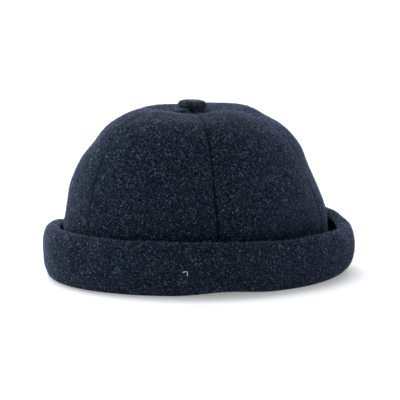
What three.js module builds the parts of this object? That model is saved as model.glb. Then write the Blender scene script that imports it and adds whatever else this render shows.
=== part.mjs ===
// A docker cap of thick wool cloth: a brimless round cap. Six gores are sewn into a domed crown, a button
// covered in cloth closes the point where they meet, and a deep cuff is turned up all round the hem and
// stands off the crown.
//
// Millimetres, +Z up. The cap's front is at -Y and its sides are at -X and +X. The origin lies on the
// surface that the cap rests on, under the middle of the cuff. A bearing is an angle round the cap in
// degrees: 0 at the front, 90 at +X, 180 at the back. Seen from the front, +X is on the right.

import * as THREE from "three";

// The head opening.
const HEAD_GIRTH = 580; // round the inside of the hem: a size 58
const OPENING_RATIO = 1.09; // the opening's length, front to back, over its width

// The cloth.
const GORE_WALL = 2.4; // the crown's wall: melton with its backing
const SEAM_GAP = 0.3; // between pieces that are sewn together
const GORES = 6;

// How the edge of a gore rolls down into the seam beside it, and how softly its swell starts there.
const SEAM_ROLL_DEPTH = 1.0;
const SEAM_ROLL_WIDTH = 3.0;
const SWELL_SHAPE = 1.6;

// How hard each seam's stitches draw the cloth in, from the seam at the front, bearing 0, on round.
const SEAM_DRAWS = [
  { name: "front", draw: 0.35 },
  { name: "front right", draw: 1.0 },
  { name: "back right", draw: 0.55 },
  { name: "back", draw: 0.7 },
  { name: "back left", draw: 0.6 },
  { name: "front left", draw: 0.5 },
];

// The crown's section, from the button down to the hem. reach is how far out the wall's outer face lies, as
// a share of its half size at the hem, height is above the surface, and swell is how far the gore stands
// proud halfway between its seams.
const CROWN_SECTION = [
  { reach: 0.035, height: 116.0, swell: 0.0 },
  { reach: 0.11, height: 117.2, swell: 0.2 },
  { reach: 0.24, height: 117.7, swell: 0.5 },
  { reach: 0.39, height: 117.8, swell: 0.9 },
  { reach: 0.54, height: 113.4, swell: 1.1 },
  { reach: 0.69, height: 105.2, swell: 1.2 },
  { reach: 0.805, height: 92.6, swell: 1.0 },
  { reach: 0.885, height: 77.0, swell: 0.9 },
  { reach: 0.95, height: 60.5, swell: 0.7 },
  { reach: 0.99, height: 43.5, swell: 0.5 },
  { reach: 1.0, height: 26.0, swell: 0.3 },
  { reach: 1.0, height: 9.0, swell: 0.0 },
];

// The crown has slumped a little to one side: how far out it has moved at a height, and towards where.
const CROWN_LEAN = { bearing: 320, out: 3.4, height: 115 };

// Where the crown's cloth has slumped or swollen: a soft dent or bulge at a bearing and a height, with how
// far each way it spreads and how far out it carries the cloth.
const CROWN_DENTS = [
  { name: "hollow of the left shoulder", bearing: 318, turn: 28, height: 98, rise: 16, out: -5.4 },
  { name: "slack below it", bearing: 318, turn: 40, height: 50, rise: 25, out: -2.4 },
  { name: "fall of the right shoulder", bearing: 128, turn: 34, height: 106, rise: 14, out: -1.3 },
  { name: "slant below it", bearing: 138, turn: 32, height: 72, rise: 20, out: -2.0 },
  { name: "flare over the cuff", bearing: 138, turn: 34, height: 36, rise: 14, out: 0.6 },
  { name: "dip of the top towards the front", bearing: 50, turn: 44, height: 118, rise: 4.5, out: -2.6 },
  { name: "puff of the top at the back", bearing: 176, turn: 40, height: 118, rise: 4, out: 1.8 },
  { name: "fall beside it", bearing: 138, turn: 20, height: 113, rise: 5, out: -0.8 },
];

// The cuff's section, along the middle of its wall: out is measured from the middle of the crown's wall at
// the hem, up is above the surface, and wall is the thickness there. The cloth starts at the hem's seam,
// turns under in a wide soft fold, climbs, and rolls back in over a broad round rim.
const CUFF_SECTION = [
  { out: 0.0, up: 8.7, wall: 2.4 },
  { out: 0.0, up: 5.4, wall: 2.4 },
  { out: 1.7, up: 2.2, wall: 2.8 },
  { out: 5.0, up: 1.5, wall: 3.2 },
  { out: 9.2, up: 1.5, wall: 3.2 },
  { out: 12.2, up: 4.0, wall: 3.2 },
  { out: 15.2, up: 9.0, wall: 3.2 },
  { out: 16.4, up: 17.0, wall: 3.2 },
  { out: 16.4, up: 25.0, wall: 3.4 },
  { out: 14.5, up: 31.2, wall: 3.8 },
  { out: 11.3, up: 34.0, wall: 4.2 },
  { out: 7.9, up: 33.0, wall: 4.2 },
];

// Where the cuff differs round its ring: rim raises the rim, lean carries the rim outwards, belly carries
// the wall between fold and rim outwards, and lift raises the fold off the surface.
const CUFF_WAVES = [
  { bearing: 5, turn: 30, rim: 0, lean: -3, belly: 2, lift: 0 },
  { bearing: 48, turn: 28, rim: 1, lean: 2, belly: -1, lift: 0 },
  { bearing: 62, turn: 13, rim: 0, lean: 0, belly: 0, lift: 2.4 },
  { bearing: 90, turn: 28, rim: -1.5, lean: -0.5, belly: -1.5, lift: 0 },
  { bearing: 138, turn: 28, rim: -2.5, lean: 2, belly: 1.5, lift: 0 },
  { bearing: 180, turn: 30, rim: 5, lean: 5, belly: 2, lift: 0 },
  { bearing: 270, turn: 35, rim: -6, lean: -1, belly: -1, lift: 0 },
  { bearing: 318, turn: 28, rim: 1.5, lean: -2, belly: -2.5, lift: 0 },
];

// The button.
const BUTTON_RADIUS = 10.0;
const BUTTON_UNDERSIDE = 118.1;
const BUTTON_HEIGHT = 6.1;
const BUTTON_EDGE = 2.8; // radius of its rounded edge
const SHANK_RADIUS = 2.5; // the shank that is sewn down between the tips of the gores
const SHANK_BELOW = 7.6; // how far the shank reaches below the underside
const BUTTON_TILT = 1.5; // degrees, down towards BUTTON_TILT_BEARING
const BUTTON_TILT_BEARING = 138;

// How finely the faces are cut.
const ACROSS_GORE = [0, 0.04, 0.11, 0.22, 0.36, 0.5, 0.64, 0.78, 0.89, 0.96, 1];
const GORE_ROWS = 19;
const ROUND_CUFF = 72;
const CUFF_ROWS = 17;
const RIM_STEPS = 5;
const ROUND_BUTTON = 24;

const HEM_HEIGHT = CROWN_SECTION[CROWN_SECTION.length - 1].height;

// The opening is an oval. These are its half sizes at the outer face of the crown's hem.
const meanRadius = HEAD_GIRTH / (2 * Math.PI);
const HALF_WIDTH = (2 * meanRadius) / (1 + OPENING_RATIO) + GORE_WALL;
const HALF_LENGTH = (2 * meanRadius * OPENING_RATIO) / (1 + OPENING_RATIO) + GORE_WALL;

const radians = THREE.MathUtils.degToRad;

/** 1 at the centre of a soft bump, falling to nothing a little past its spread. */
function bump(distance, spread) {
  return Math.exp(-((distance / spread) ** 2));
}

/** The shorter way round between two bearings, in degrees. */
function turnBetween(a, b) {
  return Math.abs(((a - b + 540) % 360) - 180);
}

/** The value of one column of a section, at a share of the way along it, on a smooth curve. */
function columnCurve(section, column) {
  const curve = new THREE.SplineCurve(section.map((row, i) => new THREE.Vector2(i, row[column])));
  return (along) => curve.getPoint(along).y;
}

/** A point out from the upright through the origin: the oval's own direction at a bearing. */
function onOval(bearing, halfWidth, halfLength, height) {
  const turn = radians(bearing);
  return new THREE.Vector3(halfWidth * Math.sin(turn), -halfLength * Math.cos(turn), height);
}

const crownReach = columnCurve(CROWN_SECTION, "reach");
const crownHeight = columnCurve(CROWN_SECTION, "height");
const crownSwell = columnCurve(CROWN_SECTION, "swell");

/** Which way the crown's section faces at a share of the way along it: x is outwards, y is up. */
function crownFacing(along) {
  const step = 0.004;
  const a = Math.max(0, along - step);
  const b = Math.min(1, along + step);
  const out = (crownReach(b) - crownReach(a)) * HALF_WIDTH;
  const up = crownHeight(b) - crownHeight(a);
  return new THREE.Vector2(-up, out).normalize();
}

/** How far the crown's outer face stands off its plain section. */
function crownRelief(bearing, along) {
  const height = crownHeight(along);
  const gore = 360 / GORES;
  const across = (((bearing % gore) + gore) % gore) / gore;
  const { draw } = SEAM_DRAWS[Math.round(bearing / gore) % GORES];
  const halfGore = radians(gore / 2) * crownReach(along) * meanRadius;
  const fromSeam = Math.min(across, 1 - across) * 2 * halfGore;
  const rollWidth = Math.min(SEAM_ROLL_WIDTH, 0.45 * halfGore);
  const roll = SEAM_ROLL_DEPTH * draw * Math.min(1, rollWidth / 1.5) * bump(fromSeam, rollWidth);
  const valley = (1 - Math.sin(Math.PI * across) ** SWELL_SHAPE) * (0.3 + 0.7 * draw);
  const clearOfButton = THREE.MathUtils.smoothstep(crownReach(along) * meanRadius, 8, 18);
  let relief = crownSwell(along) * (1 - valley) - roll;
  for (const dent of CROWN_DENTS) {
    const share = bump(turnBetween(bearing, dent.bearing), dent.turn) * bump(height - dent.height, dent.rise);
    relief += dent.out * share * clearOfButton;
  }
  return relief;
}

/** How far the crown has leaned at a height. */
function crownLean(height) {
  const share = Math.max(0, height - HEM_HEIGHT) / (CROWN_LEAN.height - HEM_HEIGHT);
  const out = CROWN_LEAN.out * share ** 1.5;
  return onOval(CROWN_LEAN.bearing, out, out, 0);
}

/** A point of the crown's wall, at a depth in from its outer face. */
function crownPoint(bearing, along, depth) {
  const facing = crownFacing(along);
  const off = crownRelief(bearing, along) - depth;
  const reach = crownReach(along);
  const height = crownHeight(along);
  return onOval(
    bearing,
    HALF_WIDTH * reach + off * facing.x,
    HALF_LENGTH * reach + off * facing.x,
    height + off * facing.y,
  ).add(crownLean(height));
}

/** A closed wall between two faces, each a grid of points with the same rows and columns. */
function wallBetween(outer, inner) {
  const rows = outer.length;
  const columns = outer[0].length;
  const positions = [...outer, ...inner].flat().flatMap((point) => point.toArray());
  const index = [];
  const quad = (a, b, c, d) => index.push(a, b, c, a, c, d);
  const at = (face, row, column) => face * rows * columns + row * columns + column;
  for (let r = 0; r + 1 < rows; r++) {
    for (let c = 0; c + 1 < columns; c++) {
      quad(at(0, r, c), at(0, r + 1, c), at(0, r + 1, c + 1), at(0, r, c + 1));
      quad(at(1, r, c), at(1, r, c + 1), at(1, r + 1, c + 1), at(1, r + 1, c));
    }
    const last = columns - 1;
    quad(at(0, r, 0), at(1, r, 0), at(1, r + 1, 0), at(0, r + 1, 0));
    quad(at(0, r, last), at(0, r + 1, last), at(1, r + 1, last), at(1, r, last));
  }
  for (let c = 0; c + 1 < columns; c++) {
    const last = rows - 1;
    quad(at(0, 0, c), at(0, 0, c + 1), at(1, 0, c + 1), at(1, 0, c));
    quad(at(0, last, c), at(1, last, c), at(1, last, c + 1), at(0, last, c + 1));
  }
  const geometry = new THREE.BufferGeometry();
  geometry.setAttribute("position", new THREE.Float32BufferAttribute(positions, 3));
  geometry.setIndex(index);
  geometry.computeVertexNormals();
  return geometry;
}

/** One gore: a leaf of cloth from the button to the hem, between two seams. */
function goreGeometry(firstSeam) {
  const gore = 360 / GORES;
  const face = (depth) =>
    Array.from({ length: GORE_ROWS + 1 }, (_, row) => {
      const along = row / GORE_ROWS;
      const halfGap = THREE.MathUtils.radToDeg(SEAM_GAP / 2 / (crownReach(along) * meanRadius));
      return ACROSS_GORE.map((share) =>
        crownPoint(firstSeam + halfGap + share * (gore - 2 * halfGap), along, depth),
      );
    });
  return wallBetween(face(0), face(GORE_WALL));
}

const cuffOut = columnCurve(CUFF_SECTION, "out");
const cuffUp = columnCurve(CUFF_SECTION, "up");
const cuffWall = columnCurve(CUFF_SECTION, "wall");

/** The sum of one column of the cuff's waves at a bearing. */
function cuffWave(bearing, column) {
  return CUFF_WAVES.reduce(
    (sum, wave) => sum + wave[column] * bump(turnBetween(bearing, wave.bearing), wave.turn),
    0,
  );
}

/** The points round the cuff's section at a bearing: out along one face, round the rim and back. */
function cuffLoop(bearing) {
  const rim = cuffWave(bearing, "rim");
  const lean = cuffWave(bearing, "lean");
  const belly = cuffWave(bearing, "belly");
  const lift = cuffWave(bearing, "lift");
  const middle = (along) => {
    const climb = THREE.MathUtils.smoothstep(along, 0.32, 0.91);
    const girth = Math.sin(Math.PI * THREE.MathUtils.smoothstep(along, 0.27, 0.91));
    const foot = Math.sin(Math.PI * Math.min(1, along / 0.64));
    return new THREE.Vector2(
      cuffOut(along) + lean * climb + belly * girth,
      cuffUp(along) + rim * climb + lift * foot,
    );
  };
  const stations = Array.from({ length: CUFF_ROWS + 1 }, (_, row) => {
    const along = row / CUFF_ROWS;
    const ahead = middle(Math.min(1, along + 0.01)).sub(middle(Math.max(0, along - 0.01))).normalize();
    return { point: middle(along), outward: new THREE.Vector2(ahead.y, -ahead.x), half: cuffWall(along) / 2 };
  });
  const offset = ({ point, outward, half }, side) => point.clone().addScaledVector(outward, side * half);
  const outerFace = stations.map((station) => offset(station, 1));
  const innerFace = stations.map((station) => offset(station, -1)).reverse();
  const end = stations[CUFF_ROWS];
  const ahead = new THREE.Vector2(-end.outward.y, end.outward.x);
  const rimRound = Array.from({ length: RIM_STEPS }, (_, step) => {
    const turn = (Math.PI * (step + 1)) / (RIM_STEPS + 1);
    return offset(end, Math.cos(turn)).addScaledVector(ahead, end.half * Math.sin(turn));
  });
  return [...outerFace, ...rimRound, ...innerFace];
}

/** The cuff: one band of doubled cloth, turned up all round. It is flattened where it rests. */
function cuffGeometry() {
  const middleOfWall = GORE_WALL / 2;
  const ring = Array.from({ length: ROUND_CUFF }, (_, i) => {
    const bearing = (i * 360) / ROUND_CUFF;
    return cuffLoop(bearing).map((point) =>
      onOval(
        bearing,
        HALF_WIDTH - middleOfWall + point.x,
        HALF_LENGTH - middleOfWall + point.x,
        Math.max(0, point.y),
      ),
    );
  });
  const around = ring.length;
  const sides = ring[0].length;
  const index = [];
  for (let i = 0; i < around; i++) {
    for (let j = 0; j < sides; j++) {
      const [a, b] = [i * sides + j, i * sides + ((j + 1) % sides)];
      const [c, d] = [((i + 1) % around) * sides + ((j + 1) % sides), ((i + 1) % around) * sides + j];
      index.push(a, d, c, a, c, b);
    }
  }
  const geometry = new THREE.BufferGeometry();
  geometry.setAttribute(
    "position",
    new THREE.Float32BufferAttribute(ring.flat().flatMap((point) => point.toArray()), 3),
  );
  geometry.setIndex(index);
  geometry.computeVertexNormals();
  return geometry;
}

/** The button: a low dome covered in cloth, on a short shank. */
function buttonGeometry() {
  const profile = new THREE.Path();
  profile.moveTo(0, -SHANK_BELOW);
  profile.lineTo(SHANK_RADIUS, -SHANK_BELOW);
  profile.lineTo(SHANK_RADIUS, 0);
  profile.lineTo(BUTTON_RADIUS - BUTTON_EDGE, 0);
  profile.absarc(BUTTON_RADIUS - BUTTON_EDGE, BUTTON_EDGE, BUTTON_EDGE, -Math.PI / 2, Math.PI * 0.36, false);
  profile.quadraticCurveTo(BUTTON_RADIUS * 0.55, BUTTON_HEIGHT, 0, BUTTON_HEIGHT);
  const geometry = new THREE.LatheGeometry(profile.getPoints(4), ROUND_BUTTON);
  return geometry.rotateX(Math.PI / 2);
}

const navyMelton = new THREE.MeshStandardMaterial({ color: 0x1c2430, roughness: 0.95, metalness: 0 });
const cuffMelton = new THREE.MeshStandardMaterial({ color: 0x1b222d, roughness: 0.95, metalness: 0 });
const buttonCloth = new THREE.MeshStandardMaterial({ color: 0x232d2c, roughness: 0.9, metalness: 0 });

/** A mesh with a name. */
function named(name, geometry, material) {
  const mesh = new THREE.Mesh(geometry, material);
  mesh.name = name;
  return mesh;
}

const GORE_NAMES = [
  "gore_front_right",
  "gore_right",
  "gore_back_right",
  "gore_back_left",
  "gore_left",
  "gore_front_left",
];

const crown = new THREE.Group();
GORE_NAMES.forEach((name, i) => crown.add(named(name, goreGeometry((i * 360) / GORES), navyMelton)));

const button = named("top_button", buttonGeometry(), buttonCloth);
button.position.copy(crownLean(BUTTON_UNDERSIDE)).setZ(BUTTON_UNDERSIDE);
const tiltAxis = onOval(BUTTON_TILT_BEARING + 90, 1, 1, 0);
button.quaternion.setFromAxisAngle(tiltAxis, radians(BUTTON_TILT));

const cap = new THREE.Group();
cap.add(crown, button, named("cuff", cuffGeometry(), cuffMelton));

// The cuff's waves reach further on one side than on the other, so the whole is set back over the origin.
const middle = new THREE.Box3().setFromObject(cap, true).getCenter(new THREE.Vector3());
cap.position.set(-middle.x, -middle.y, 0);

export default cap;
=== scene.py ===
"""A docker cap of dark navy wool melton: six gores, a deep turned-up cuff and a cloth-covered button.

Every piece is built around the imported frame, in metres. A bearing is an angle round the cap in degrees: 0 at
the front (-Y), 90 at +X. The form's tables are in millimetres, as a cap maker would measure them.
"""

import logging
import math
from dataclasses import dataclass
from enum import Enum
from typing import Iterable, Sequence

import bmesh
import bpy
import numpy as np
from mathutils import Matrix, Vector, noise


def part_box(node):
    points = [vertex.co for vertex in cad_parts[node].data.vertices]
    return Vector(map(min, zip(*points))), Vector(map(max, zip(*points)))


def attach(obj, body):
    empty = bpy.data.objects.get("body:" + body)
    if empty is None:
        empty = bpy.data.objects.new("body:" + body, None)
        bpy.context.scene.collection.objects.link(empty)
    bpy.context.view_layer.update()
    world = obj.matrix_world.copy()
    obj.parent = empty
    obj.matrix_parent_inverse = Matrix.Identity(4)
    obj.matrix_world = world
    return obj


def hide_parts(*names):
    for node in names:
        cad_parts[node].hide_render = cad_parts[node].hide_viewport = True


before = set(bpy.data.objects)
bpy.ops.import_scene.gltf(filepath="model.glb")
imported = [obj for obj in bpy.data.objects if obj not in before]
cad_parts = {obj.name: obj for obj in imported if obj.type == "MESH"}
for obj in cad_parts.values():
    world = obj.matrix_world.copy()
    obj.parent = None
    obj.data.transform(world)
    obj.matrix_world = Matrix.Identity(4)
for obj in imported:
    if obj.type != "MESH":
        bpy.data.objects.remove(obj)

log = logging.getLogger("docker_cap")

MM = 0.001
WELD = 1e-6
PLACE_DIGITS = 6
OFF_AXIS = np.array([0.31, 0.17, 0.93])
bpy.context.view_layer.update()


# The form of the cap


@dataclass(frozen=True)
class CrownStation:
    """A row of the crown's section: reach is a share of the half size at the hem, height and swell are mm."""

    reach: float
    height: float
    swell: float


@dataclass(frozen=True)
class Dent:
    """A soft dent or bulge of the crown: where it is, how far it spreads, and how far out it goes."""

    bearing: float
    turn: float
    height: float
    rise: float
    out: float


@dataclass(frozen=True)
class Seam:
    """A seam of the crown: its bearing, how hard it draws the cloth in and how deep its line is, 0 to 1. The
    line is a notch in the cloth with painted shade along it.
    """

    bearing: float
    draw: float
    line: float


@dataclass(frozen=True)
class Pucker:
    """A crease or ridge that runs out from the button: its bearing, its width and reach in mm, its rise."""

    bearing: float
    width: float
    start: float
    end: float
    out: float


@dataclass(frozen=True)
class CuffStation:
    """A row of the cuff's section: out from the crown's wall and up from the surface, with the wall there."""

    out: float
    up: float
    wall: float


@dataclass(frozen=True)
class CuffWave:
    """Where the cuff stands higher, leans or bellies out, or lifts off the surface."""

    bearing: float
    turn: float
    rim: float = 0.0
    lean: float = 0.0
    belly: float = 0.0
    lift: float = 0.0


CROWN_SECTION = (
    CrownStation(0.035, 116.0, 0.0),
    CrownStation(0.11, 117.2, 0.2),
    CrownStation(0.24, 117.7, 0.5),
    CrownStation(0.39, 117.8, 0.9),
    CrownStation(0.54, 113.4, 1.1),
    CrownStation(0.69, 105.2, 1.2),
    CrownStation(0.805, 92.6, 1.0),
    CrownStation(0.885, 77.0, 0.9),
    CrownStation(0.95, 60.5, 0.7),
    CrownStation(0.99, 43.5, 0.5),
    CrownStation(1.0, 26.0, 0.3),
    CrownStation(1.0, 9.0, 0.0),
)

CROWN_DENTS = (
    Dent(bearing=318, turn=28, height=98, rise=16, out=-5.4),
    Dent(bearing=318, turn=40, height=50, rise=25, out=-2.4),
    Dent(bearing=128, turn=34, height=106, rise=14, out=-1.3),
    Dent(bearing=138, turn=32, height=72, rise=20, out=-2.0),
    Dent(bearing=138, turn=34, height=36, rise=14, out=0.6),
    Dent(bearing=50, turn=44, height=118, rise=4.5, out=-2.6),
    Dent(bearing=176, turn=40, height=118, rise=4, out=1.8),
    Dent(bearing=138, turn=20, height=113, rise=5, out=-0.8),
)

CROWN_SEAMS = (
    Seam(bearing=0, draw=0.35, line=0.12),
    Seam(bearing=60, draw=1.0, line=1.0),
    Seam(bearing=120, draw=0.55, line=0.06),
    Seam(bearing=180, draw=0.7, line=0.6),
    Seam(bearing=240, draw=0.6, line=0.5),
    Seam(bearing=300, draw=0.5, line=0.45),
)

CROWN_PUCKERS = (
    Pucker(bearing=12, width=3.4, start=7, end=20, out=-2.2),
    Pucker(bearing=40, width=8.0, start=9, end=18, out=-0.4),
    Pucker(bearing=84, width=2.2, start=9, end=30, out=-1.7),
    Pucker(bearing=112, width=2.0, start=9, end=32, out=-1.4),
    Pucker(bearing=318, width=2.4, start=9, end=24, out=-0.8),
    Pucker(bearing=262, width=2.4, start=9, end=26, out=-0.7),
    Pucker(bearing=205, width=2.2, start=9, end=22, out=-0.6),
)

CUFF_SECTION = (
    CuffStation(0.0, 8.7, 2.4),
    CuffStation(0.0, 5.4, 2.4),
    CuffStation(1.7, 2.2, 2.8),
    CuffStation(5.0, 1.5, 3.2),
    CuffStation(9.2, 1.5, 3.2),
    CuffStation(12.2, 4.0, 3.2),
    CuffStation(15.2, 9.0, 3.2),
    CuffStation(16.4, 17.0, 3.2),
    CuffStation(16.4, 25.0, 3.4),
    CuffStation(14.5, 31.2, 3.8),
    CuffStation(11.3, 34.0, 4.2),
    CuffStation(7.9, 33.0, 4.2),
)

CUFF_WAVES = (
    CuffWave(bearing=5, turn=30, lean=-3.0, belly=2.0),
    CuffWave(bearing=48, turn=28, rim=1.0, lean=2.0, belly=-1.0),
    CuffWave(bearing=62, turn=13, lift=2.4),
    CuffWave(bearing=90, turn=28, rim=-1.5, lean=-0.5, belly=-1.5),
    CuffWave(bearing=138, turn=28, rim=-2.5, lean=2.0, belly=1.5),
    CuffWave(bearing=180, turn=30, rim=5.0, lean=5.0, belly=2.0),
    CuffWave(bearing=270, turn=35, rim=-6.0, lean=-1.0, belly=-1.0),
    CuffWave(bearing=318, turn=28, rim=1.5, lean=-2.0, belly=-2.5),
)


def bump(distance: np.ndarray, spread: float | np.ndarray) -> np.ndarray:
    """Returns 1 at the middle of a soft bump, falling away over its spread."""
    return np.exp(-((distance / spread) ** 2))


def turn_between(bearing: np.ndarray, other: float) -> np.ndarray:
    """Returns the shorter way round between bearings, in degrees."""
    return np.abs((bearing - other + 540.0) % 360.0 - 180.0)


def smoothstep(value: np.ndarray, low: float, high: float) -> np.ndarray:
    """Returns 0 below low, 1 above high and a smooth rise between them."""
    share = np.clip((value - low) / (high - low), 0.0, 1.0)
    return share * share * (3.0 - 2.0 * share)


def column_curve(values: Sequence[float], share: np.ndarray) -> np.ndarray:
    """Reads one column of a section along a smooth curve through its rows.

    Args:
        values: The column, from the section's first row to its last.
        share: How far along the section to read it, 0 to 1.

    Returns:
        The column's value at each share.
    """
    column = np.asarray(values, float)
    last = len(column) - 1
    place = last * np.asarray(share, float)
    row = np.floor(place).astype(int)
    step = place - row
    here, after = column[row], column[np.minimum(row + 1, last)]
    before = column[np.maximum(row - 1, 0)]
    beyond = column[np.minimum(row + 2, last)]
    rise, fall = (after - before) / 2.0, (beyond - here) / 2.0
    return (
        (2 * here - 2 * after + rise + fall) * step**3
        + (-3 * here + 3 * after - 2 * rise - fall) * step**2
        + rise * step
        + here
    )


def on_oval(bearing: np.ndarray, width: np.ndarray, length: np.ndarray, height: np.ndarray) -> np.ndarray:
    """Returns points at a bearing on an oval of these half sizes, as rows of x, y and z."""
    turn = np.radians(bearing)
    return np.stack([width * np.sin(turn), -length * np.cos(turn), height], axis=-1)


@dataclass(frozen=True)
class CapForm:
    """The cap's walls as functions of a bearing and a share of the way along a section, in mm."""

    girth: float = 580.0
    ratio: float = 1.09
    wall: float = 2.4
    gores: int = 6
    roll_depth: float = 0.45
    roll_width: float = 2.4
    swell_shape: float = 1.6
    hem: float = 9.0
    lean_bearing: float = 320.0
    lean_out: float = 3.4
    lean_height: float = 115.0
    lean_curve: float = 1.5
    lump: float = 0.35
    lump_size: float = 17.0
    crown_step: float = 0.004
    top_share: float = 0.45
    clear_of_button: tuple[float, float] = (8.0, 18.0)
    pucker_rise: float = 3.0
    pucker_fade: float = 0.6
    cuff_step: float = 0.01
    cuff_climb: tuple[float, float] = (0.32, 0.91)
    cuff_belly: tuple[float, float] = (0.27, 0.91)
    cuff_foot: float = 0.64
    cuff_lumps: tuple[float, float] = (0.3, 0.6)
    cuff_lumps_apart: float = 300.0
    widest: tuple[float, ...] = (0.6, 0.7, 0.8, 0.9)

    @property
    def mean_radius(self) -> float:
        """The radius of a round opening of the same girth."""
        return self.girth / (2.0 * math.pi)

    @property
    def half_width(self) -> float:
        """Half the crown's width at the hem, to its outer face."""
        return 2.0 * self.mean_radius / (1.0 + self.ratio) + self.wall

    @property
    def half_length(self) -> float:
        """Half the crown's length at the hem, to its outer face."""
        return 2.0 * self.mean_radius * self.ratio / (1.0 + self.ratio) + self.wall

    @property
    def gore_turn(self) -> float:
        """How far round the cap one gore reaches, in degrees."""
        return 360.0 / self.gores

    def crown_column(self, name: str, along: np.ndarray) -> np.ndarray:
        """Returns one column of the crown's section at each share of the way along it."""
        return column_curve([getattr(row, name) for row in CROWN_SECTION], along)

    def crown_facing(self, along: np.ndarray) -> tuple[np.ndarray, np.ndarray]:
        """Returns which way the crown's section faces: its outward and its upward part."""
        low, high = np.maximum(0.0, along - self.crown_step), np.minimum(1.0, along + self.crown_step)
        out = (self.crown_column("reach", high) - self.crown_column("reach", low)) * self.half_width
        up = self.crown_column("height", high) - self.crown_column("height", low)
        length = np.hypot(out, up)
        return -up / length, out / length

    def lean(self, height: np.ndarray) -> np.ndarray:
        """Returns how far the crown has leaned at each height."""
        share = np.maximum(0.0, height - self.hem) / (self.lean_height - self.hem)
        out = self.lean_out * share**self.lean_curve
        return on_oval(np.full_like(out, self.lean_bearing), out, out, np.zeros_like(out))

    def from_seam(self, bearing: np.ndarray, along: np.ndarray) -> np.ndarray:
        """Returns how far round each point is from the nearest seam, in mm."""
        across = (bearing % self.gore_turn) / self.gore_turn
        radius = self.crown_column("reach", along) * self.mean_radius
        return np.minimum(across, 1.0 - across) * math.radians(self.gore_turn) * radius

    def nearest_seam(self, bearing: np.ndarray, name: str) -> np.ndarray:
        """Returns one column of the seams' table for the seam nearest to each bearing."""
        column = np.array([getattr(seam, name) for seam in CROWN_SEAMS])
        return column[np.round(bearing / self.gore_turn).astype(int) % len(column)]

    def crown_relief(self, bearing: np.ndarray, along: np.ndarray) -> np.ndarray:
        """Returns how far the crown's outer face stands off its plain section."""
        height = self.crown_column("height", along)
        radius = self.crown_column("reach", along) * self.mean_radius
        across = (bearing % self.gore_turn) / self.gore_turn
        half_gore = math.radians(self.gore_turn / 2.0) * radius
        width = np.minimum(self.roll_width, 0.45 * half_gore)
        roll = self.roll_depth * self.nearest_seam(bearing, "draw") * np.minimum(1.0, width / 1.5)
        roll *= bump(self.from_seam(bearing, along), width)
        valley = 1.0 - np.sin(np.pi * across) ** self.swell_shape
        valley *= 0.3 + 0.7 * self.nearest_seam(bearing, "draw")
        relief = self.crown_column("swell", along) * (1.0 - valley) - roll
        clear = smoothstep(radius, *self.clear_of_button)
        for dent in CROWN_DENTS:
            around = bump(turn_between(bearing, dent.bearing), dent.turn)
            share = around * bump(height - dent.height, dent.rise)
            relief += dent.out * share * clear
        on_top = along < self.top_share
        for pucker in CROWN_PUCKERS:
            aside = np.radians(turn_between(bearing, pucker.bearing)) * radius
            begun = smoothstep(radius, pucker.start - self.pucker_rise, pucker.start + self.pucker_rise)
            span = begun * (1.0 - smoothstep(radius, pucker.end * self.pucker_fade, pucker.end))
            relief += np.where(on_top, pucker.out * bump(aside, pucker.width) * span, 0.0)
        return relief

    def crown_point(self, bearing: np.ndarray, along: np.ndarray, depth: np.ndarray) -> np.ndarray:
        """Returns points of the crown's wall, at a depth in from its outer face.

        Args:
            bearing: Where each point is round the cap, in degrees.
            along: How far along the section it is, 0 at the button and 1 at the hem.
            depth: How far in from the outer face, in mm.

        Returns:
            Rows of x, y and z, in mm, before the cap is set over the origin.
        """
        facing_out, facing_up = self.crown_facing(along)
        plain = self.crown_column("reach", along)
        height = self.crown_column("height", along)
        ground = on_oval(bearing, self.half_width * plain, self.half_length * plain, height)
        off = self.crown_relief(bearing, along) + self.lumps(ground) - depth
        return on_oval(
            bearing,
            self.half_width * plain + off * facing_out,
            self.half_length * plain + off * facing_out,
            height + off * facing_up,
        ) + self.lean(height)

    def lumps(self, ground: np.ndarray) -> np.ndarray:
        """Returns the cloth's own soft unevenness at each point, in mm."""
        size = self.lump_size
        value = np.array([noise.noise(Vector(point) / size) for point in ground])
        return self.lump * 2.0 * value

    def wave(self, bearing: np.ndarray, name: str) -> np.ndarray:
        """Returns the sum of one column of the cuff's waves at each bearing."""
        total = np.zeros_like(bearing, dtype=float)
        for row in CUFF_WAVES:
            total += getattr(row, name) * bump(turn_between(bearing, row.bearing), row.turn)
        return total

    def cuff_middle(self, bearing: np.ndarray, along: np.ndarray) -> tuple[np.ndarray, np.ndarray]:
        """Returns the middle of the cuff's wall: out from the crown's wall and up from the surface."""
        climb = smoothstep(along, *self.cuff_climb)
        girth = np.sin(np.pi * smoothstep(along, *self.cuff_belly))
        foot = np.sin(np.pi * np.minimum(1.0, along / self.cuff_foot))
        out = column_curve([row.out for row in CUFF_SECTION], along)
        up = column_curve([row.up for row in CUFF_SECTION], along)
        return (
            out + self.wave(bearing, "lean") * climb + self.wave(bearing, "belly") * girth,
            up + self.wave(bearing, "rim") * climb + self.wave(bearing, "lift") * foot,
        )

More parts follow.
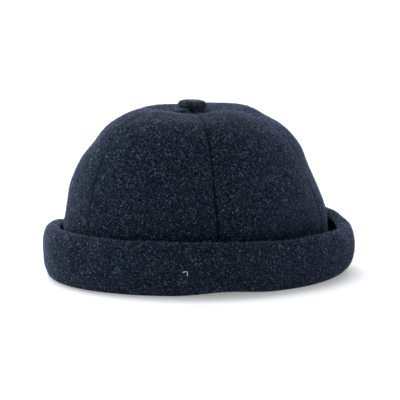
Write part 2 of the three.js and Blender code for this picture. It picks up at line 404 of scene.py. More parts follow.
    def cuff_point(self, bearing: np.ndarray, along: np.ndarray, turn: np.ndarray) -> np.ndarray:
        """Returns points of the cuff's face.

        Args:
            bearing: Where each point is round the cap, in degrees.
            along: How far along the section it is, 0 at the hem's seam and 1 at the rim.
            turn: Which side of the wall it is on, in radians: 0 outside, pi inside, between them round
                the rim.

        Returns:
            Rows of x, y and z, in mm, before the cap is set over the origin.
        """
        out, up = self.cuff_middle(bearing, along)
        out_after, up_after = self.cuff_middle(bearing, np.minimum(1.0, along + self.cuff_step))
        out_before, up_before = self.cuff_middle(bearing, np.maximum(0.0, along - self.cuff_step))
        ahead_out, ahead_up = out_after - out_before, up_after - up_before
        length = np.hypot(ahead_out, ahead_up)
        ahead_out, ahead_up = ahead_out / length, ahead_up / length
        half = column_curve([row.wall for row in CUFF_SECTION], along) / 2.0
        ground = on_oval(bearing, self.half_width + out, self.half_length + out, up)
        lumps = self.lumps(ground + self.cuff_lumps_apart) * smoothstep(along, *self.cuff_lumps)
        half = half + lumps * np.cos(turn)
        side, over = half * np.cos(turn), half * np.sin(turn)
        out = out + ahead_up * side + ahead_out * over
        up = up - ahead_out * side + ahead_up * over
        middle = self.wall / 2.0
        return on_oval(
            bearing,
            self.half_width - middle + out,
            self.half_length - middle + out,
            np.maximum(0.0, up),
        )

    def shift(self) -> Vector:
        """Returns the step in mm that sets the form over the origin, where the frame's cuff stands."""
        bearing = np.arange(0.0, 360.0, 0.5)
        side = np.zeros_like(bearing)
        rings = [self.cuff_point(bearing, np.full_like(bearing, share), side) for share in self.widest]
        ring = np.concatenate(rings)
        low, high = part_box("cuff")
        middle = (low + high) / (2.0 * MM)
        return Vector((*(middle.xy - Vector((ring.max(0) + ring.min(0))[:2] / 2.0)), 0.0))


# Shader maths


class Shade:
    """A shader socket that takes part in Python arithmetic. Values add Math nodes, colours Mix nodes."""

    def __init__(self, bench: "Bench", socket: bpy.types.NodeSocket) -> None:
        """Keeps the socket and the bench that it belongs to."""
        self.bench = bench
        self.socket = socket

    def _math(self, operation: str, *values: "Shade | float") -> "Shade":
        """Returns the result of a Math node on these values."""
        inputs = dict(enumerate(values))
        return self.bench.node("ShaderNodeMath", {"operation": operation}, inputs)

    def __add__(self, other: "Shade | float") -> "Shade":
        """Returns the sum."""
        return self._math("ADD", self, other)

    __radd__ = __add__

    def __rsub__(self, other: float) -> "Shade":
        """Returns the difference from a number."""
        return self._math("SUBTRACT", other, self)

    def __mul__(self, other: "Shade | float") -> "Shade":
        """Returns the product."""
        return self._math("MULTIPLY", self, other)

    __rmul__ = __mul__

    def above(self, level: float, soft: float) -> "Shade":
        """Returns 0 below a level and 1 above it, with a soft step between."""
        settings = {"interpolation_type": "SMOOTHSTEP"}
        inputs = {"Value": self, "From Min": level - soft, "From Max": level + soft}
        return self.bench.node("ShaderNodeMapRange", settings, inputs)

    def blend(self, dark: "Shade | tuple", light: "Shade | tuple") -> "Shade":
        """Returns a colour between two, with this value as the share of the second."""
        settings = {"data_type": "RGBA", "blend_type": "MIX"}
        return self.bench.node("ShaderNodeMix", settings, {0: self, 6: dark, 7: light}, output=2)


class Bench:
    """A material's node tree, with one method that adds any node."""

    def __init__(self, name: str) -> None:
        """Starts an empty material of this name."""
        self.material = bpy.data.materials.new(name)
        self.material.use_nodes = True
        self.tree = self.material.node_tree
        self.tree.nodes.clear()

    def node(self, kind: str, settings: dict, inputs: dict, output: int | str = 0) -> Shade:
        """Adds a node.

        Args:
            kind: The node's type, such as ShaderNodeMath.
            settings: Its attributes, set before its inputs.
            inputs: Socket name or number to a value, a colour or a Shade.
            output: The socket that is returned.

        Returns:
            The node's output, ready for arithmetic.
        """
        node = self.tree.nodes.new(kind)
        for key, value in settings.items():
            setattr(node, key, value)
        for key, value in inputs.items():
            socket = node.inputs[key]
            if isinstance(value, Shade):
                self.tree.links.new(value.socket, socket)
            elif isinstance(value, tuple) and len(value) == 3 and socket.type == "RGBA":
                socket.default_value = (*value, 1.0)
            else:
                socket.default_value = value
        return Shade(self, node.outputs[output])

    def noise(self, where: Shade, scale: float, detail: float = 2.0, rough: float = 0.5) -> Shade:
        """Returns a noise of this many cycles a metre."""
        inputs = {"Vector": where, "Scale": scale, "Detail": detail, "Roughness": rough}
        return self.node("ShaderNodeTexNoise", {}, inputs)

    def dashes(
        self, where: Shade, turn: tuple, width: float, length: float, level: float, soft: float
    ) -> Shade:
        """Returns scattered short dashes that all lie one way, like the fibres of one lot.

        Args:
            where: The coordinates.
            turn: Which way the dashes lie, as three angles in radians.
            width: How far apart they are side by side, in mm.
            length: How far apart they are end to end, in mm.
            level: How high the noise is where a dash begins: the higher, the fewer dashes.
            soft: How soft their edges are.

        Returns:
            1 on the dashes and 0 off them.
        """
        settings = {"vector_type": "TEXTURE"}
        inputs = {"Vector": where, "Rotation": turn, "Scale": (width * MM, width * MM, length * MM)}
        laid = self.node("ShaderNodeMapping", settings, inputs)
        return self.noise(laid, 1.0, 1.0, 0.5).above(level, soft)

    def finish(self, shader: Shade) -> bpy.types.Material:
        """Wires a shader to the output and returns the material."""
        out = self.tree.nodes.new("ShaderNodeOutputMaterial")
        self.tree.links.new(shader.socket, out.inputs["Surface"])
        return self.material


# Finishes


@dataclass(frozen=True)
class MeltonFinish:
    """Milled wool cloth: a dark ground with lighter fibres of several lots felted into it every way, and
    painted shade darkening it along the seams.
    """

    name: str
    ground: tuple[float, float, float] = (0.0025, 0.0046, 0.0088)
    teal: tuple[float, float, float] = (0.0024, 0.0066, 0.0082)
    plum: tuple[float, float, float] = (0.0043, 0.0040, 0.0084)
    blue: tuple[float, float, float] = (0.026, 0.051, 0.098)
    slate: tuple[float, float, float] = (0.078, 0.122, 0.188)
    pale: tuple[float, float, float] = (0.290, 0.340, 0.440)
    drift_scale: float = 70.0
    mottle_scale: float = 560.0
    lots: tuple[tuple[float, float, float], ...] = (
        (0.4, 0.3, 0.0),
        (1.5, 0.2, 0.7),
        (0.9, 1.4, 0.2),
        (2.2, 0.8, 1.9),
    )
    lot_dashes: tuple[float, float, float, float] = (0.54, 1.3, 0.67, 0.04)
    pale_lot: tuple[float, float, float] = (1.1, 2.3, 0.5)
    pale_dashes: tuple[float, float, float, float] = (0.85, 1.9, 0.695, 0.04)
    pale_share: float = 0.85
    # Painted shade: the near-black colour painted along the seams' creases, and how much of the cloth's colour
    # it covers there.
    crease: tuple[float, float, float] = (0.0012, 0.0018, 0.0030)
    crease_shade_share: float = 0.92
    sheen: float = 0.36
    sheen_rough: float = 0.2
    sheen_tint: tuple[float, float, float] = (0.46, 0.56, 1.0)
    relief: float = 0.0004

    def make(self) -> bpy.types.Material:
        """Returns the cloth's material, whose patterns are fixed to the piece."""
        bench = Bench(self.name)
        where = bench.node("ShaderNodeTexCoord", {}, {}, output="Object")
        drift = bench.noise(where, self.drift_scale, 2.0)
        mottle = bench.noise(where, self.mottle_scale, 3.0, 0.6)
        lots = [bench.dashes(where, turn, *self.lot_dashes) for turn in self.lots]
        pale = bench.dashes(where, self.pale_lot, *self.pale_dashes)
        colour = drift.above(0.44, 0.1).blend(self.plum, drift.above(0.56, 0.1).blend(self.ground, self.teal))
        for share, tint in zip(lots, (self.blue, self.slate, self.blue, self.slate)):
            colour = (share * (0.35 + mottle * 0.9)).blend(colour, tint)
        colour = (pale * self.pale_share).blend(colour, self.pale)
        # Painted shade: where the piece marks its seams, the cloth's colour is darkened towards near-black
        # navy.
        crease = bench.node("ShaderNodeAttribute", {"attribute_name": "crease"}, {}, output="Fac")
        colour = (crease * self.crease_shade_share).blend(colour, self.crease)
        height = sum(lots[1:], lots[0]) * 0.5 + pale * 0.7 + mottle * 1.2
        relief = {"Strength": 0.8, "Distance": self.relief, "Height": height}
        raised = bench.node("ShaderNodeBump", {}, relief)
        shader = bench.node(
            "ShaderNodeBsdfPrincipled",
            {},
            {
                "Base Color": colour,
                "Roughness": 0.92 - pale * 0.2,
                "Specular IOR Level": 0.03,
                "Sheen Weight": self.sheen,
                "Sheen Roughness": self.sheen_rough,
                "Sheen Tint": self.sheen_tint,
                "Normal": raised,
            },
        )
        return bench.finish(shader)


@dataclass(frozen=True)
class FibreFinish:
    """Loose wool fibres on the cloth's face, each a little lighter or darker than the next."""

    name: str
    dark: tuple[float, float, float]
    light: tuple[float, float, float]
    glow: tuple[float, float, float] = (0.30, 0.36, 0.46)
    glow_share: float = 0.35
    tint_scale: float = 240.0
    rough: float = 0.6
    sheen: float = 0.3

    def make(self) -> bpy.types.Material:
        """Returns the fibres' material, which lets some of the light behind them through."""
        bench = Bench(self.name)
        where = bench.node("ShaderNodeTexCoord", {}, {}, output="Object")
        tint = bench.noise(where, self.tint_scale, 1.0).above(0.5, 0.16)
        face = bench.node(
            "ShaderNodeBsdfPrincipled",
            {},
            {
                "Base Color": tint.blend(self.dark, self.light),
                "Roughness": self.rough,
                "Specular IOR Level": 0.3,
                "Sheen Weight": self.sheen,
                "Sheen Tint": (0.6, 0.7, 1.0),
            },
        )
        through = bench.node("ShaderNodeBsdfTranslucent", {}, {"Color": self.glow})
        return bench.finish(bench.node("ShaderNodeMixShader", {}, {0: self.glow_share, 1: face, 2: through}))


class Tint(Enum):
    """The dyed lots of the fibres: each one's dark and light, and the glow that it lets through."""

    NAVY = ((0.0036, 0.0064, 0.0120), (0.016, 0.028, 0.056), (0.090, 0.140, 0.360))
    SLATE = ((0.038, 0.062, 0.098), (0.144, 0.198, 0.278), (0.270, 0.350, 0.560))
    PALE = ((0.066, 0.092, 0.134), (0.240, 0.305, 0.398), (0.370, 0.430, 0.600))
    KEMP = ((0.380, 0.400, 0.440), (0.620, 0.640, 0.680), (0.600, 0.620, 0.660))
    DOWN = ((0.160, 0.190, 0.280), (0.340, 0.380, 0.520), (0.480, 0.540, 0.800))
    BOTTLE = ((0.060, 0.084, 0.094), (0.240, 0.285, 0.300), (0.280, 0.340, 0.360))

    def finish(self) -> FibreFinish:
        """Returns the finish of fibres of this lot."""
        return FibreFinish(f"{self.name.lower()}_fibre", *self.value)


# Making pieces


def grid_points(bm: bmesh.types.BMesh) -> np.ndarray:
    """Returns a bmesh's points as rows of x, y and z."""
    return np.array([vert.co for vert in bm.verts])


def place_points(bm: bmesh.types.BMesh, points: np.ndarray) -> None:
    """Moves every point of a bmesh, given in metres."""
    for vert, point in zip(bm.verts, points):
        vert.co = point
    bm.normal_update()


def make_piece(
    bm: bmesh.types.BMesh, name: str, material: bpy.types.Material, replaced: Sequence[str] = ()
) -> bpy.types.Object:
    """Turns a bmesh into a smooth piece that rides on the cap.

    Args:
        bm: The piece's shape, in metres, in its place. It is used up.
        name: The piece's name.
        material: Its finish.
        replaced: The CAD nodes that it stands for.

    Returns:
        The piece.
    """
    mesh = bpy.data.meshes.new(name)
    bm.to_mesh(mesh)
    bm.free()
    mesh.shade_smooth()
    mesh.materials.append(material)
    piece = bpy.data.objects.new(name, mesh)
    bpy.context.scene.collection.objects.link(piece)
    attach(piece, "root")
    if replaced:
        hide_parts(*replaced)
    return piece


def corner_points(faces: Iterable[bmesh.types.BMFace]) -> np.ndarray:
    """Returns the corners of four-sided faces in metres, in an order that is the same in every run.

    Blender's spin leaves its faces in no fixed order, and each seed picks faces by their number. So the faces
    are sorted by their middle's height, then y and x, and each row starts at the face's first corner by x, y
    and z, all rounded to PLACE_DIGITS.

    Args:
        faces: The faces. Those without four corners are left out.

    Returns:
        A row for each face, with its four corners in turn.
    """
    quads = np.array([[vert.co[:] for vert in face.verts] for face in faces if len(face.verts) == 4])
    keys = np.round(quads, PLACE_DIGITS)
    first = [min(range(4), key=lambda corner: tuple(key[corner])) for key in keys]
    quads = np.stack([np.roll(quad, -corner, axis=0) for quad, corner in zip(quads, first)])
    middle = np.round(quads.mean(axis=1), PLACE_DIGITS)
    return quads[np.lexsort(middle.T)]


def spin_round(
    bm: bmesh.types.BMesh, geom: Sequence[bmesh.types.BMVert | bmesh.types.BMEdge], steps: int
) -> None:
    """Spins a section once round the upright axis and joins its ends."""
    turn = {"cent": (0, 0, 0), "axis": (0, 0, 1), "angle": 2.0 * math.pi}
    bmesh.ops.spin(bm, geom=geom, steps=steps, use_merge=True, **turn)


def swept_form(curve: bpy.types.Curve) -> bmesh.types.BMesh:
    """Returns the solid that a curve sweeps, with its doubled points welded, and removes the curve."""
    laid = bpy.data.objects.new(f"{curve.name}_curve", curve)
    bpy.context.scene.collection.objects.link(laid)
    mesh = bpy.data.meshes.new_from_object(laid.evaluated_get(bpy.context.evaluated_depsgraph_get()))
    bm = bmesh.new()
    bm.from_mesh(mesh)
    bmesh.ops.remove_doubles(bm, verts=bm.verts, dist=WELD)
    bpy.data.objects.remove(laid)
    bpy.data.curves.remove(curve)
    bpy.data.meshes.remove(mesh)
    return bm


# The pieces


@dataclass(frozen=True)
class Gore:
    """One leaf of the crown: its node, and the bearing of the seam at its left edge."""

    node: str
    bearing: float


@dataclass
class Crown:
    """The six gores, sewn edge to edge from the hem up to the button.

    Their edges stay edge_gap apart, in mm, so that no light line shows along a seam, as a wider gap gives.
    """

    form: CapForm
    columns: int = 56
    rows: int = 104
    edge_gap: float = 0.04
    crowding: float = 1.8
    notch_depth: float = 1.8
    notch_width: float = 0.8
    # The width in mm of the painted shade along each seam.
    crease_shade_width: float = 0.8
    drawn_from: tuple[float, float] = (0.28, 0.56)
    faint_draw: float = 0.35
    bare_columns: int = 5
    gores: tuple[Gore, ...] = (
        Gore("gore_front_right", 0.0),
        Gore("gore_right", 60.0),
        Gore("gore_back_right", 120.0),
        Gore("gore_back_left", 180.0),
        Gore("gore_left", 240.0),
        Gore("gore_front_left", 300.0),
    )

    def build(self, cloth: bpy.types.Material) -> np.ndarray:
        """Builds and dresses the gores and returns the corners of their outer faces."""
        corners, turn = [], self.form.gore_turn
        for gore in self.gores:
            bm, napped = self.leaf(gore)
            corners.append(corner_points(napped))
            whole = bm.verts[:] + bm.edges[:] + bm.faces[:]
            bmesh.ops.solidify(bm, geom=whole, thickness=self.form.wall * MM)
            make_piece(bm, f"{gore.node}_cloth", cloth, [gore.node])
            log.info("gore %s: seams at bearings %g and %g", gore.node, gore.bearing, gore.bearing + turn)
        return np.concatenate(corners)

    def leaf(self, gore: Gore) -> tuple[bmesh.types.BMesh, list[bmesh.types.BMFace]]:
        """Shapes a flat grid into the outer face of a gore.

        Args:
            gore: Which gore it is.

        Returns:
            The face, in metres, with no thickness yet, and its parts that carry nap, clear of the seams.
        """
        bm = bmesh.new()
        bmesh.ops.create_grid(bm, x_segments=self.columns, y_segments=self.rows, size=0.5)
        flat = grid_points(bm) + 0.5
        bare = 0.5 - self.bare_columns / self.columns
        napped = [face for face in bm.faces if abs(face.calc_center_median().x) < bare]
        across, along = self.crowd_to_seams(flat[:, 0]), 1.0 - flat[:, 1]
        radius = self.form.crown_column("reach", along) * self.form.mean_radius
        gap = np.degrees(self.edge_gap / 2.0 / radius)
        bearing = gore.bearing + gap + across * (self.form.gore_turn - 2.0 * gap)
        seam = self.form.from_seam(bearing, along)
        drawn = self.faint_draw + (1.0 - self.faint_draw) * smoothstep(along, *self.drawn_from)
        drawn = drawn * self.form.nearest_seam(bearing, "line") * smoothstep(radius, 4.0, 12.0)
        notch = self.notch_depth * bump(seam, self.notch_width) * drawn
        points = self.form.crown_point(bearing, along, notch)
        place_points(bm, (points + np.array(self.form.shift())) * MM)
        # Painted shade along each seam: a dark band stored on the points, which darkens the cloth's colour.
        crease = bm.verts.layers.float.new("crease")
        for vert, share in zip(bm.verts, bump(seam, self.crease_shade_width) * drawn):
            vert[crease] = share
        return bm, napped

    def crowd_to_seams(self, share: np.ndarray) -> np.ndarray:
        """Returns the share of the way across a gore, with its columns set closer near the seams."""
        near = 0.5 * (2.0 * np.minimum(share, 1.0 - share)) ** self.crowding
        return np.where(share < 0.5, near, 1.0 - near)


@dataclass
class Cuff:
    """The band that is turned up round the hem: a closed section spun round the cap, then waved."""

    form: CapForm
    rows: int = 46
    rim_steps: int = 8
    ring: int = 300
    join_bearing: float = 180.0
    join_roll: float = 0.35
    join_reach: float = 2.6
    join_depth: float = 0.5
    join_line: float = 0.7
    crowded: float = 0.12
    inner_turn: float = 2.0
    nap_clear: float = 0.8
    nap_outside: float = 0.2
    nap_inside: float = 0.72

    def join_dip(self, aside: np.ndarray) -> np.ndarray:
        """Returns how far the cloth dips, in mm, where the band's ends are sewn together at the back."""
        return self.join_roll * bump(aside, self.join_reach) + self.join_depth * bump(aside, self.join_line)

    def section(self) -> list[tuple[float, float]]:
        """Returns each step of the section: its way along the cuff and its side, in radians."""
        steps = [row / self.rows for row in range(self.rows + 1)]
        outside = [(along, 0.0) for along in steps]
        rim = [(1.0, math.pi * step / self.rim_steps) for step in range(1, self.rim_steps)]
        inside = [(along, math.pi) for along in reversed(steps)]
        return outside + rim + inside

    def build(self, cloth: bpy.types.Material) -> np.ndarray:
        """Builds and dresses the cuff and returns the corners of the faces that carry nap."""
        bm = bmesh.new()
        along_layer = bm.verts.layers.float.new("along")
        side_layer = bm.verts.layers.float.new("side")
        section = self.section()
        loop = []
        for along, side in section:
            turn = 2.0 * math.pi * len(loop) / len(section)
            vert = bm.verts.new((1.0 + 0.1 * math.cos(turn), 0.0, 0.1 * math.sin(turn)))
            vert[along_layer], vert[side_layer] = along, side
            loop.append(vert)
        edges = [bm.edges.new((loop[i - 1], loop[i])) for i in range(len(loop))]
        spin_round(bm, loop + edges, self.ring)
        bearing = self.crowd_to_join(np.degrees([math.atan2(vert.co.x, -vert.co.y) for vert in bm.verts]))
        along = np.array([vert[along_layer] for vert in bm.verts])
        side = np.array([vert[side_layer] for vert in bm.verts])
        points = self.form.cuff_point(bearing, along, side)
        from_join = np.radians(turn_between(bearing, self.join_bearing)) * self.form.half_length
        place_points(bm, (points + np.array(self.form.shift())) * MM)
        bmesh.ops.recalc_face_normals(bm, faces=bm.faces)
        # Painted shade along the join at the back: a dark band stored on the points, which darkens the cloth's
        # colour.
        crease = bm.verts.layers.float.new("crease")
        for vert, depth, share in zip(bm.verts, self.join_dip(from_join), bump(from_join, self.join_line)):
            vert.co -= vert.normal * depth * MM
            vert[crease] = share
        napped = [face for face in bm.faces if self.shows(face, along_layer, side_layer)]
        corners = corner_points(napped)
        bm.verts.layers.float.remove(along_layer)
        bm.verts.layers.float.remove(bm.verts.layers.float["side"])
        make_piece(bm, "turned_cuff", cloth, ["cuff"])
        log.info("cuff: %d faces carry nap", len(corners))
        return corners

    def crowd_to_join(self, bearing: np.ndarray) -> np.ndarray:
        """Returns bearings from -180 to 180 with the ring's columns set closer near the seam at the back."""
        share = 1.0 - np.abs(bearing) / 180.0
        close = np.where(share < self.crowded, self.crowded * (share / self.crowded) ** 2.0, share)
        return np.sign(bearing) * (1.0 - close) * 180.0

    def shows(
        self, face: bmesh.types.BMFace, along: bmesh.types.BMLayerItem, side: bmesh.types.BMLayerItem
    ) -> bool:
        """Returns whether a face of the cuff is open to the air and clear of the surface it rests on."""
        middle = sum(vert[along] for vert in face.verts) / 4.0
        inner = sum(vert[side] for vert in face.verts) / 4.0 > self.inner_turn
        low = min(vert.co.z for vert in face.verts)
        return low > self.nap_clear * MM and middle > (self.nap_inside if inner else self.nap_outside)


@dataclass
class TopButton:
    """The button: the crown's cloth drawn over a mould, and the shank that holds it down."""

    form: CapForm
    radius: float = 10.0
    underside: float = 118.1
    height: float = 6.1
    edge: float = 2.8
    shank_radius: float = 2.5
    shank_below: float = 7.6
    tilt: float = 1.5
    tilt_to: float = 138.0
    nudge: tuple[float, float] = (0.6, 0.67)
    edge_turn: float = 0.72
    steps: int = 12
    nap_above: float = 0.2
    gathers: int = 13
    gather_depth: float = 0.28
    ring: int = 72

    def profile(self) -> list[tuple[float, float]]:
        """Returns the button's section as radius and height over its underside, from the shank's foot up."""
        foot = [(0.0, -self.shank_below), (self.shank_radius, -self.shank_below), (self.shank_radius, -0.6)]
        flat = [(self.shank_radius + step * 0.9, 0.0) for step in range(1, 6)]
        centre = self.radius - self.edge
        edge = [
            (centre + self.edge * math.sin(turn), self.edge - self.edge * math.cos(turn))
            for turn in np.linspace(0.0, self.edge_turn * math.pi, self.steps)
        ]
        out, up = edge[-1]
        rise = self.height - up
        turns = np.linspace(0.0, math.pi / 2, self.steps)[1:]
        dome = [(out * math.cos(turn), up + rise * math.sin(turn)) for turn in turns]
        dome[-1] = (0.0, self.height)
        return foot + flat + edge + dome

    def build(self, cloth: bpy.types.Material) -> np.ndarray:
        """Builds and dresses the button and returns the corners of its covered faces."""
        bm = bmesh.new()
        line = [bm.verts.new((out, 0.0, up)) for out, up in self.profile()]
        edges = [bm.edges.new(pair) for pair in zip(line, line[1:])]
        spin_round(bm, line + edges, self.ring)
        bmesh.ops.remove_doubles(bm, verts=bm.verts, dist=0.001)
        bmesh.ops.recalc_face_normals(bm, faces=bm.faces)
        self.pull_cloth(bm)
        covered = [face for face in bm.faces if min(vert.co.z for vert in face.verts) > self.nap_above]
        self.set_down(bm)
        corners = corner_points(covered)
        make_piece(bm, "covered_button", cloth, ["top_button"])
        log.info("button: %g mm across, tilted %g degrees", 2.0 * self.radius, self.tilt)
        return corners

    def pull_cloth(self, bm: bmesh.types.BMesh) -> None:
        """Gathers the cloth under the edge and leaves it a little uneven on top."""
        for vert in bm.verts:
            out = math.hypot(vert.co.x, vert.co.y)
            turn = math.atan2(vert.co.x, -vert.co.y)
            fold = math.cos(self.gathers * turn + 1.3 * math.sin(2.0 * turn))
            low = math.exp(-(((vert.co.z - 0.9) / 1.6) ** 2)) * min(1.0, max(0.0, (out - 4.5) / 3.0))
            lump = 0.25 * noise.noise(Vector((vert.co.x, vert.co.y, vert.co.z * 1.5)) / 5.5)
            step = self.gather_depth * fold * low + lump * min(1.0, max(0.0, (vert.co.z + 0.2) / 1.5))
            if out > self.shank_radius + 0.1:
                vert.co += vert.co.normalized() * step

    def set_down(self, bm: bmesh.types.BMesh) -> None:
        """Tilts the button, sets it over the tips of the gores and brings it to metres."""
        axis = math.radians(self.tilt_to + 90.0)
        turn = Matrix.Rotation(math.radians(self.tilt), 4, Vector((math.sin(axis), -math.cos(axis), 0.0)))
        lean = self.form.lean(np.array([self.underside]))[0]
        place = Vector((lean[0] + self.nudge[0], lean[1] + self.nudge[1], self.underside)) + self.form.shift()
        bmesh.ops.transform(bm, matrix=Matrix.Scale(MM, 4) @ Matrix.Translation(place) @ turn, verts=bm.verts)
        bm.normal_update()


@dataclass
class Nap:
    """Loose fibres that curl over the cloth's face, rooted in it."""

    name: str
    corners: np.ndarray
    count: int
    tint: Tint
    slot: str
    seed: int
    length: tuple[float, float] = (0.9, 2.6)
    thick: tuple[float, float] = (0.11, 0.19)
    stand: tuple[float, float] = (0.10, 0.32)
    stray_share: float = 0.05
    stray_stand: float = 0.8
    straight: bool = False
    curl: float = 0.9
    droop: tuple[float, float] = (-0.5, 0.7)
    stray_droop: float = 0.9
    rooted: float = 0.15
    lowest: float = 0.15
    taper: tuple[float, float, float] = (1.0, 0.85, 0.4)

    def build(self) -> None:
        """Grows the fibres as one curve of many strands and makes it a mesh."""
        paths, radii = self.paths()
        curve = bpy.data.curves.new(self.name, "CURVE")
        curve.dimensions = "3D"
        curve.bevel_mode = "OBJECT"
        curve.bevel_object = strand_section()
        curve.use_fill_caps = True
        for path, radius in zip(paths, radii):
            strand = curve.splines.new("POLY")
            strand.points.add(len(path) - 1)
            strand.points.foreach_set("co", np.column_stack([path, np.ones(len(path))]).ravel())
            strand.points.foreach_set("radius", radius)
        make_piece(swept_form(curve), self.name, self.tint.finish().make())
        log.info("nap %s: %d fibres", self.name, self.count)

    def paths(self) -> tuple[np.ndarray, np.ndarray]:
        """Returns each fibre's points, three or for straight ones two, and its radius at each, in metres."""
        dice = np.random.default_rng(self.seed)
        quads = self.corners
        across, down = quads[:, 2] - quads[:, 0], quads[:, 3] - quads[:, 1]
        normal = np.cross(across, down)
        area = np.linalg.norm(normal, axis=1)
        pick = dice.choice(len(quads), self.count, p=area / area.sum())
        quads, normal = quads[pick], normal[pick] / area[pick, None]
        u, v = dice.random((2, self.count, 1))
        near = quads[:, 0] * (1 - u) + quads[:, 1] * u
        far = quads[:, 3] * (1 - u) + quads[:, 2] * u
        root = near * (1 - v) + far * v
        heading = dice.uniform(0.0, 2.0 * math.pi, (self.count, 1))
        curl = dice.normal(0.0, self.curl, (self.count, 1))
        length = dice.uniform(*self.length, (self.count, 1)) * MM
        stand = dice.uniform(*self.stand, (self.count, 1)) * MM
        stray = dice.random((self.count, 1)) < self.stray_share
        stand = np.where(stray, stand + dice.random((self.count, 1)) * self.stray_stand * MM, stand)
        droop = np.where(stray, self.stray_droop, dice.uniform(*self.droop, (self.count, 1)))
        side = np.cross(normal, OFF_AXIS)
        side /= np.linalg.norm(side, axis=1, keepdims=True)
        up = np.cross(normal, side)
        first = side * np.cos(heading) + up * np.sin(heading)
        second = side * np.cos(heading + curl) + up * np.sin(heading + curl)
        middle = root + first * length * 0.5 + normal * stand
        tip = middle + second * length * 0.5 + normal * stand * droop
        radius = dice.uniform(*self.thick, (self.count, 1)) * MM / 2.0
        path = np.stack([root - normal * self.rooted * MM, middle, tip], axis=1)
        path[:, :, 2] = np.maximum(path[:, :, 2], self.lowest * MM)
        taper = radius * np.array(self.taper)
        return (path[:, ::2], taper[:, ::2]) if self.straight else (path, taper)


def strand_section() -> bpy.types.Object:
    """Returns the three-sided section of every fibre, made once and left out of the scene."""
    name = "strand_section"
    if name in bpy.data.objects:
        return bpy.data.objects[name]
    curve = bpy.data.curves.new(name, "CURVE")
    ring = curve.splines.new("POLY")
    ring.points.add(2)
    for point, turn in zip(ring.points, (0.0, 120.0, 240.0)):
        point.co = (math.cos(math.radians(turn)), math.sin(math.radians(turn)), 0.0, 1.0)
    ring.use_cyclic_u = True
    return bpy.data.objects.new(name, curve)


# The studio


@dataclass(frozen=True)
class Sun:
    """A broad soft light from far off: its turn from the camera, its rise and its spread in degrees."""

    name: str
    turn: float
    rise: float
    strength: float
    spread: float


SUNS = (
    Sun("glow_of_the_backdrop", turn=-162.0, rise=44.0, strength=4.3, spread=80.0),
    Sun("backdrop_low_on_the_left", turn=-155.0, rise=14.0, strength=1.5, spread=40.0),
    Sun("backdrop_low_on_the_right", turn=160.0, rise=14.0, strength=0.5, spread=40.0),
    Sun("softbox_at_the_side", turn=-90.0, rise=50.0, strength=0.6, spread=60.0),
)


@dataclass
class Studio:
    """The photograph's view of the cap, with a pale floor and most of the light from behind it."""

    azimuth: float = 48.0
    elevation: float = 7.3
    distance: float = 1.3
    height: float = 0.0516
    aside: float = 0.00087
    mm_per_pixel: float = 0.7215
    pixels: int = 400
    floor_size: float = 80.0

    def facing(self, azimuth: float, elevation: float) -> Vector:
        """Returns the way from the cap to something at these angles."""
        turn, rise = math.radians(azimuth), math.radians(elevation)
        return Vector((math.sin(turn) * math.cos(rise), -math.cos(turn) * math.cos(rise), math.sin(rise)))

    def build(self) -> None:
        """Sets up the camera, the floor and the lights."""
        self.camera()
        self.floor()
        for sun in SUNS:
            self.light(sun)
        world = bpy.data.worlds.new("studio")
        bpy.context.scene.world = world
        world.use_nodes = True
        sky = world.node_tree.nodes["Background"]
        sky.inputs["Color"].default_value = (0.96, 0.98, 1.0, 1.0)
        sky.inputs["Strength"].default_value = 0.35
        bpy.context.scene.view_settings.view_transform = "Standard"
        log.info("studio: camera at azimuth %g, elevation %g", self.azimuth, self.elevation)

    def camera(self) -> None:
        """Sets the camera where the photograph was taken from."""
        lens = bpy.data.cameras.new("camera")
        lens.sensor_fit = "HORIZONTAL"
        width = self.mm_per_pixel * self.pixels * MM
        lens.lens = lens.sensor_width * self.distance / width
        lens.clip_end = 200.0
        camera = bpy.data.objects.new("camera", lens)
        bpy.context.scene.collection.objects.link(camera)
        right = Vector((math.cos(math.radians(self.azimuth)), math.sin(math.radians(self.azimuth)), 0.0))
        way = self.facing(self.azimuth, self.elevation)
        camera.location = Vector((0.0, 0.0, self.height)) + right * self.aside + way * self.distance
        camera.rotation_euler = way.to_track_quat("Z", "Y").to_euler()
        bpy.context.scene.camera = camera

    def floor(self) -> None:
        """Lays a plain pale floor, a light table that glows a little."""
        bm = bmesh.new()
        bmesh.ops.create_grid(bm, x_segments=1, y_segments=1, size=self.floor_size / 2.0)
        mesh = bpy.data.meshes.new("floor")
        bm.to_mesh(mesh)
        bm.free()
        bench = Bench("floor")
        face = {
            "Base Color": (0.80, 0.80, 0.80),
            "Emission Color": (1.0, 1.0, 1.0),
            "Emission Strength": 0.3,
            "Roughness": 1.0,
            "Specular IOR Level": 0.0,
        }
        shader = bench.node("ShaderNodeBsdfPrincipled", {}, face)
        mesh.materials.append(bench.finish(shader))
        floor = bpy.data.objects.new("floor", mesh)
        bpy.context.scene.collection.objects.link(floor)

    def light(self, sun: Sun) -> None:
        """Adds one of the lights, a little cool."""
        light = bpy.data.lights.new(sun.name, "SUN")
        light.energy = sun.strength
        light.color = (0.90, 0.95, 1.0)
        light.angle = math.radians(sun.spread)
        lamp = bpy.data.objects.new(sun.name, light)
        way = self.facing(self.azimuth + sun.turn, sun.rise)
        lamp.rotation_euler = way.to_track_quat("Z", "Y").to_euler()
        bpy.context.scene.collection.objects.link(lamp)


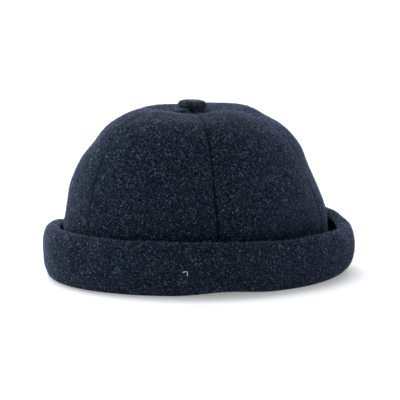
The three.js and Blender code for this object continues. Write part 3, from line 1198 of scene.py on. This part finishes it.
@dataclass
class Tack:
    """Two short stitches of white thread that show on the cuff."""

    form: CapForm
    bearing: float = 46.5
    along: float = 0.636
    thread: float = 0.42
    cuff_radius: float = 112.0
    section_length: float = 60.0

    def build(self) -> None:
        """Lays the stitches on the cuff's face."""
        curve = bpy.data.curves.new("tack", "CURVE")
        curve.dimensions = "3D"
        curve.bevel_depth = self.thread / 2.0 * MM
        curve.bevel_resolution = 2
        curve.use_fill_caps = True
        self.stitch(curve, [(-1.6, 0.3, -0.1), (-1.1, 0.55, 0.25), (0.4, 0.75, 0.35), (1.3, 0.8, 0.1)])
        self.stitch(curve, [(1.25, 0.9, -0.1), (1.75, 0.6, 0.35), (1.85, -0.3, 0.35), (1.75, -1.1, -0.1)])
        white = {"dark": (0.80, 0.80, 0.78), "light": (0.92, 0.92, 0.90)}
        finish = FibreFinish("white_thread", glow_share=0.0, rough=0.5, sheen=0.1, **white)
        make_piece(swept_form(curve), "tack_stitches", finish.make())
        log.info("tack: two stitches at bearing %g", self.bearing)

    def stitch(self, curve: bpy.types.Curve, offsets: Sequence[tuple[float, float, float]]) -> None:
        """Adds one stitch.

        Args:
            curve: The curve that it is added to.
            offsets: Its points as mm to the right, up and out from the middle of the tack.
        """
        strand = curve.splines.new("POLY")
        strand.points.add(len(offsets) - 1)
        for point, offset in zip(strand.points, offsets):
            point.co = (*self.on_cuff(*offset), 1.0)

    def on_cuff(self, right: float, up: float, out: float) -> Vector:
        """Returns a point near the tack's middle, in metres, off the cuff's outer face."""
        bearing = np.array([self.bearing + math.degrees(right / self.cuff_radius)])
        along = np.array([self.along + up / self.section_length])
        here = self.form.cuff_point(bearing, along, np.zeros(1))[0]
        outward = Vector((math.sin(math.radians(self.bearing)), -math.cos(math.radians(self.bearing)), 0.0))
        return (Vector(here) + outward * out + self.form.shift()) * MM


# Assembly


def main() -> None:
    """Builds the cap, its nap and the studio, in that order."""
    logging.basicConfig(level=logging.INFO, format="%(name)s: %(message)s")
    form = CapForm()
    crown = Crown(form).build(MeltonFinish("crown_melton").make())
    cuff = Cuff(form).build(MeltonFinish("cuff_melton", ground=(0.0032, 0.0046, 0.0086)).make())
    button_cloth = MeltonFinish("button_melton", ground=(0.056, 0.077, 0.084), blue=(0.175, 0.225, 0.245))
    button = TopButton(form).build(button_cloth.make())
    Tack(form).build()
    curls = {"length": (2.2, 4.4), "thick": (0.17, 0.26)}
    down = {"length": (0.3, 0.9), "thick": (0.09, 0.14), "stand": (0.2, 0.35)}
    down |= {"stray_share": 1.0, "stray_stand": 0.25, "straight": True}
    Nap("crown_nap_navy", crown, 14000, Tint.NAVY, "crown_cloth", seed=11).build()
    Nap("crown_nap_slate", crown, 11000, Tint.SLATE, "crown_cloth", seed=13).build()
    Nap("crown_nap_curls", crown, 1900, Tint.PALE, "crown_cloth", seed=15, **curls).build()
    Nap("crown_nap_kemp", crown, 600, Tint.KEMP, "crown_cloth", seed=14, thick=(0.16, 0.28)).build()
    Nap("crown_down", crown, 18000, Tint.DOWN, "crown_cloth", seed=16, **down).build()
    Nap("cuff_nap_navy", cuff, 6000, Tint.NAVY, "cuff_cloth", seed=21).build()
    Nap("cuff_nap_slate", cuff, 5000, Tint.SLATE, "cuff_cloth", seed=22).build()
    Nap("cuff_nap_curls", cuff, 950, Tint.PALE, "cuff_cloth", seed=24, **curls).build()
    Nap("cuff_nap_kemp", cuff, 320, Tint.KEMP, "cuff_cloth", seed=23, thick=(0.16, 0.28)).build()
    Nap("cuff_down", cuff, 7000, Tint.DOWN, "cuff_cloth", seed=26, **down).build()
    Nap("button_nap", button, 420, Tint.BOTTLE, "button_cloth", seed=31, length=(1.2, 2.8)).build()
    Nap("button_down", button, 260, Tint.DOWN, "button_cloth", seed=36, **down).build()
    Studio().build()


if __name__ == "__main__":
    main()
